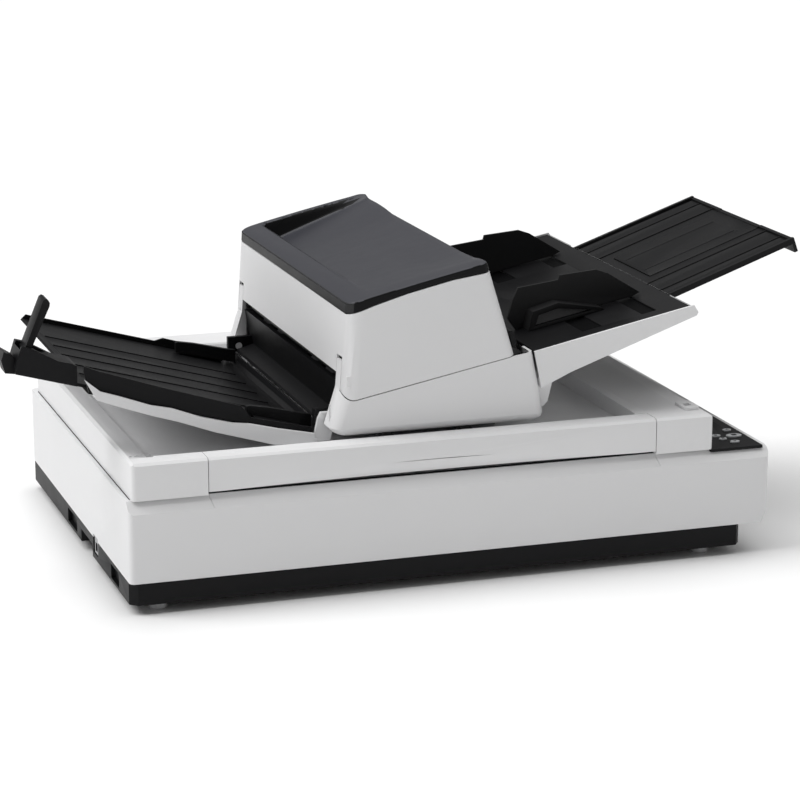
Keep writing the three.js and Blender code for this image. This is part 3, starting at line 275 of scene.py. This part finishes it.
def skin(node):
    """A node's own form with its edges rounded as a mould leaves them."""
    bm = bmesh.new()
    bm.from_mesh(NODES[node].data)
    bmesh.ops.remove_doubles(bm, verts=bm.verts, dist=WELD)
    if node not in RIBBED:
        flat = CURVED.get(node, FLAT_ANGLE)
        bmesh.ops.dissolve_limit(bm, angle_limit=math.radians(flat), verts=bm.verts, edges=bm.edges)
    obj = new_object(f"{node}_form", bm)
    smooth(obj)
    rounded(obj, EDGE.get(node, DEFAULT_EDGE), 3 if node in EDGE else 2, clamp=node not in CURVED)
    finish_form(obj, node)
    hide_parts(node)
    return obj


FORMS = {}
for node in NODES:
    if node == "flatbed_glass":
        NODES[node].data.materials.clear()
        NODES[node].data.materials.append(MATERIALS[SLOT_OF[node]])
        continue
    FORMS[node] = skin(node)


def tone(node, materials, choose):
    """Gives each face of a form the material that choose(centre, normal) numbers; 0 is the node's own."""
    mesh = FORMS[node].data
    for mat in materials:
        mesh.materials.append(mat)
    for poly in mesh.polygons:
        poly.material_index = choose(poly.center, poly.normal)


def tone_tray():
    """Painted shade on the top tray: its steep and front-facing faces, the skirt and the bowl's back wall
    among them, get a near-black tone for the shade they fall in, and its left skirt a less dark painted tone.
    """
    tone("top_tray", [PAINTED_SHADE_BLACK, PAINTED_HALF_SHADE],
         lambda c, n: 2 if n.x < -0.6 else 1 if n.z < 0.45 or n.y < -0.62 else 0)


def tone_rollers():
    """Rubber sleeves on plated shafts."""
    for node in ("brake_roller", "feed_roller", "eject_roller", "pick_roller", "feed_idler", "eject_idler"):
        low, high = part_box(node)
        ax, az = (low[0] + high[0]) / 2, (low[2] + high[2]) / 2
        tone(node, [MATERIALS["plated_steel"]],
             lambda c, n: 1 if math.hypot(c.x - ax, c.z - az) < SHAFT_RADIUS and abs(n.y) < 0.5 else 0)


def tone_guides():
    """Sheet guides in a satin black, with a lighter panel let into each grip."""
    for node, side in (("hopper_guide_front", -1), ("hopper_guide_rear", 1)):
        tone(node, [SATIN, INLAY],
             lambda c, n: 2 if abs(c.y - side * GRIP_PANEL_Y) < 0.0006 and n.y * side > 0.9 else 1)


def tone_wells():
    """Near-black paint on the floors of the hopper table's wells, standing for shade."""
    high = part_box("hopper_table")[1]
    tone("hopper_table", [WELL_SHADE],
         lambda c, n: 1 if n.z > 0.9 and 0.0015 < high[2] - (high[0] - c.x) * CHUTE_RISE - c.z < 0.003 else 0)


def tone_sill():
    """Black paint on the white shell's edge under the exit, standing for the stacker's shade."""
    edge = SHIFT_X - 0.108
    tone("feeder_base", [MATERIALS["black_plastic"]],
         lambda c, n: 1 if c.x < edge and abs(c.y) < 0.17 and c.z < 0.1637 and n.z > -0.5 else 0)


tone_sill()
tone_wells()
tone_tray()
tone_rollers()
tone_guides()


# ---------------------------------------------------------------- added pieces
def add_prism(bm, outline, low, high):
    """Closed outline in X and Y, swept up from low to high."""
    ends = [[bm.verts.new((x, y, z)) for x, y in outline] for z in (low, high)]
    for end in ends:
        bm.faces.new(end)
    count = len(outline)
    for i in range(count):
        j = (i + 1) % count
        bm.faces.new([ends[0][i], ends[0][j], ends[1][j], ends[1][i]])


def piece(name, bm, slot, body, bevel=0.0):
    bmesh.ops.recalc_face_normals(bm, faces=bm.faces)
    obj = new_object(name, bm)
    smooth(obj)
    if bevel:
        rounded(obj, bevel, 2)
    obj.data.materials.append(MATERIALS[slot])
    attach(obj, body)


def ring_outline(x0, x1, y0, y1, radius, steps=5):
    points = []
    for cx, cy, start in ((x1 - radius, y0 + radius, -90), (x1 - radius, y1 - radius, 0),
                          (x0 + radius, y1 - radius, 90), (x0 + radius, y0 + radius, 180)):
        for i in range(steps + 1):
            a = math.radians(start + 90.0 * i / steps)
            points.append((cx + radius * math.cos(a), cy + radius * math.sin(a)))
    return points


def circle(cx, cy, radius, steps=28):
    turns = [2 * math.pi * i / steps for i in range(steps)]
    return [(cx + radius * math.cos(a), cy + radius * math.sin(a)) for a in turns]


def rect(x0, x1, y0, y1):
    return [(x0, y0), (x1, y0), (x1, y1), (x0, y1)]


def add_ring(bm, outer, inner, low, high):
    """Closed ring between two outlines with the same number of points."""
    levels = [[bm.verts.new((x, y, z)) for x, y in points]
              for points, z in ((outer, low), (outer, high), (inner, high), (inner, low))]
    count = len(outer)
    for k, a in enumerate(levels):
        b = levels[(k + 1) % len(levels)]
        for i in range(count):
            j = (i + 1) % count
            bm.faces.new([a[i], a[j], b[j], b[i]])


def shadow_gap_ring():
    """Dark ring on the deck that stands for the shadow gap under the cover."""
    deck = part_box("base_shell")[1][2]
    x0, x1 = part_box("cover_shell")[0][0] - 0.0010, SHIFT_X + 0.2905
    y0, y1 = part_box("base_shell")[0][1] + 0.0128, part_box("cover_handle")[0][1] + 0.480
    outer = ring_outline(x0, x1, y0, y1, 0.005)
    inner = ring_outline(x0 + 0.006, x1 - 0.006, y0 + 0.006, y1 - 0.006, 0.003)
    bm = bmesh.new()
    add_ring(bm, outer, inner, deck - 0.0045, deck + 0.00018)
    piece("shadow_gap_ring", bm, "black_plastic", "base")


def key_marks():
    """Plain raised signs on the keys: square, disc, two arrows, bars."""
    signs = {"key_stop": "square", "key_scan": "disc", "key_up": "up", "key_down": "down", "key_menu": "bars"}
    for node, sign in signs.items():
        low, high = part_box(node)
        cx, cy = (low[0] + high[0]) / 2, (low[1] + high[1]) / 2
        r = min(high[0] - low[0], high[1] - low[1]) * 0.2
        bm = bmesh.new()
        z0, z1 = high[2] - 0.0002, high[2] + 0.00012
        if sign == "square":
            add_prism(bm, rect(cx - r, cx + r, cy - r, cy + r), z0, z1)
        elif sign == "disc":
            add_prism(bm, circle(cx, cy, r), z0, z1)
        elif sign == "bars":
            for k in (-1, 0, 1):
                y = cy + k * r * 0.9
                add_prism(bm, rect(cx - r, cx + r, y - r * 0.2, y + r * 0.2), z0, z1)
        else:
            d = 1 if sign == "up" else -1
            arrow = [(cx - r * 1.2, cy - d * r * 0.7), (cx + r * 1.2, cy - d * r * 0.7), (cx, cy + d * r)]
            add_prism(bm, arrow, z0, z1)
        piece(f"{node}_sign", bm, "black_plastic", BODY_OF[node])


def panel_details():
    """Two small lamps and a thin frame round the display."""
    low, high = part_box("display_window")
    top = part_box("operator_panel")[1][2]
    bm = bmesh.new()
    outer = ring_outline(low[0] - 0.0016, high[0] + 0.0016, low[1] - 0.0016, high[1] + 0.0016, 0.002)
    inner = ring_outline(low[0] - 0.0004, high[0] + 0.0004, low[1] - 0.0004, high[1] + 0.0004, 0.001)
    add_ring(bm, outer, inner, top - 0.0004, top + 0.0003)
    piece("display_frame", bm, "grey_plastic", "base")
    bm = bmesh.new()
    for k in range(2):
        lamp = circle(low[0] + 0.006 + k * 0.008, low[1] - 0.010, 0.0012, steps=16)
        add_prism(bm, lamp, top - 0.0005, top + 0.0003)
    piece("panel_lamps", bm, "lamp_glass", "base")


def screws():
    """Cross-head screws on the underside, sunk in the pan."""
    low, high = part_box("bottom_pan")
    bm = bmesh.new()
    for fx in (0.08, 0.36, 0.64, 0.92):
        for fy in (0.1, 0.9):
            cx, cy = low[0] + fx * (high[0] - low[0]), low[1] + fy * (high[1] - low[1])
            add_prism(bm, circle(cx, cy, 0.0042, steps=20), low[2] - 0.0007, low[2] + 0.001)
            for dx, dy in ((0.0024, 0.0005), (0.0005, 0.0024)):
                slot = rect(cx - dx, cx + dx, cy - dy, cy + dy)
                add_prism(bm, slot, low[2] - 0.0009, low[2] - 0.0006)
    piece("pan_screws", bm, "plated_steel", "base", 0.0002)


def rail_marks():
    """Small raised paper-edge marks on the cover's left rail: a rule and two arrowheads."""
    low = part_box("cover_shell")[0]
    x, y, top = low[0] + 0.016, low[1] + 0.030, RAIL_TOP
    bm = bmesh.new()
    for k, half in enumerate((0.0060, 0.0035)):
        yy = y + 0.004 * k
        add_prism(bm, rect(x - half, x + half, yy - 0.0003, yy + 0.0003), top - 0.0003, top + 0.00015)
    for dx in (-0.010, 0.010):
        arrow = [(x + dx - 0.0014, y), (x + dx + 0.0014, y), (x + dx, y + 0.0026)]
        add_prism(bm, arrow, top - 0.0003, top + 0.00015)
    piece("rail_marks", bm, "grey_plastic", "document_cover")


shadow_gap_ring()
rail_marks()
key_marks()
panel_details()
screws()


# ---------------------------------------------------------------- stage
def make_floor():
    bm = bmesh.new()
    half = 60.0
    corners = [(-half, -half), (half, -half), (half, half), (-half, half)]
    bm.faces.new([bm.verts.new((x, y, 0.0)) for x, y in corners])
    floor = new_object("floor", bm)
    mat, _, bsdf = node_tree("floor_paint")
    bsdf.inputs["Base Color"].default_value = (0.98, 0.98, 0.98, 1.0)
    bsdf.inputs["Roughness"].default_value = 0.6
    floor.data.materials.append(mat)


def sun(name, azimuth, elevation, strength, spread):
    """A soft, even light from far off: azimuth 0 is +X, 90 is +Y."""
    az, el = math.radians(azimuth), math.radians(elevation)
    to_sun = Vector((math.cos(az) * math.cos(el), math.sin(az) * math.cos(el), math.sin(el)))
    data = bpy.data.lights.new(name, "SUN")
    data.energy = strength
    data.angle = math.radians(spread)
    obj = bpy.data.objects.new(name, data)
    obj.location = to_sun * 3.0
    obj.rotation_euler = to_sun.to_track_quat("Z", "Y").to_euler()
    bpy.context.collection.objects.link(obj)


def make_lights():
    world = bpy.data.worlds.new("studio")
    world.use_nodes = True
    background = world.node_tree.nodes["Background"]
    background.inputs["Color"].default_value = (1.0, 1.0, 1.0, 1.0)
    background.inputs["Strength"].default_value = 0.30
    bpy.context.scene.world = world
    sun("key", 168.0, 48.0, 1.45, 35.0)
    sun("top", 100.0, 80.0, 1.55, 60.0)


def make_camera():
    yaw, pitch = math.radians(18.368), math.radians(14.396)
    data = bpy.data.cameras.new("camera")
    data.sensor_width = 36.0
    data.lens = 126.14
    data.clip_end = 250.0
    cam = bpy.data.objects.new("camera", data)
    cam.location = (-0.94213 + SHIFT_X, -2.88562, 0.91590)
    ahead = Vector((math.sin(yaw) * math.cos(pitch), math.cos(yaw) * math.cos(pitch), -math.sin(pitch)))
    cam.rotation_euler = ahead.to_track_quat("-Z", "Y").to_euler()
    bpy.context.collection.objects.link(cam)
    bpy.context.scene.camera = cam


make_floor()
make_lights()
make_camera()
bpy.context.scene.view_settings.view_transform = "Standard"
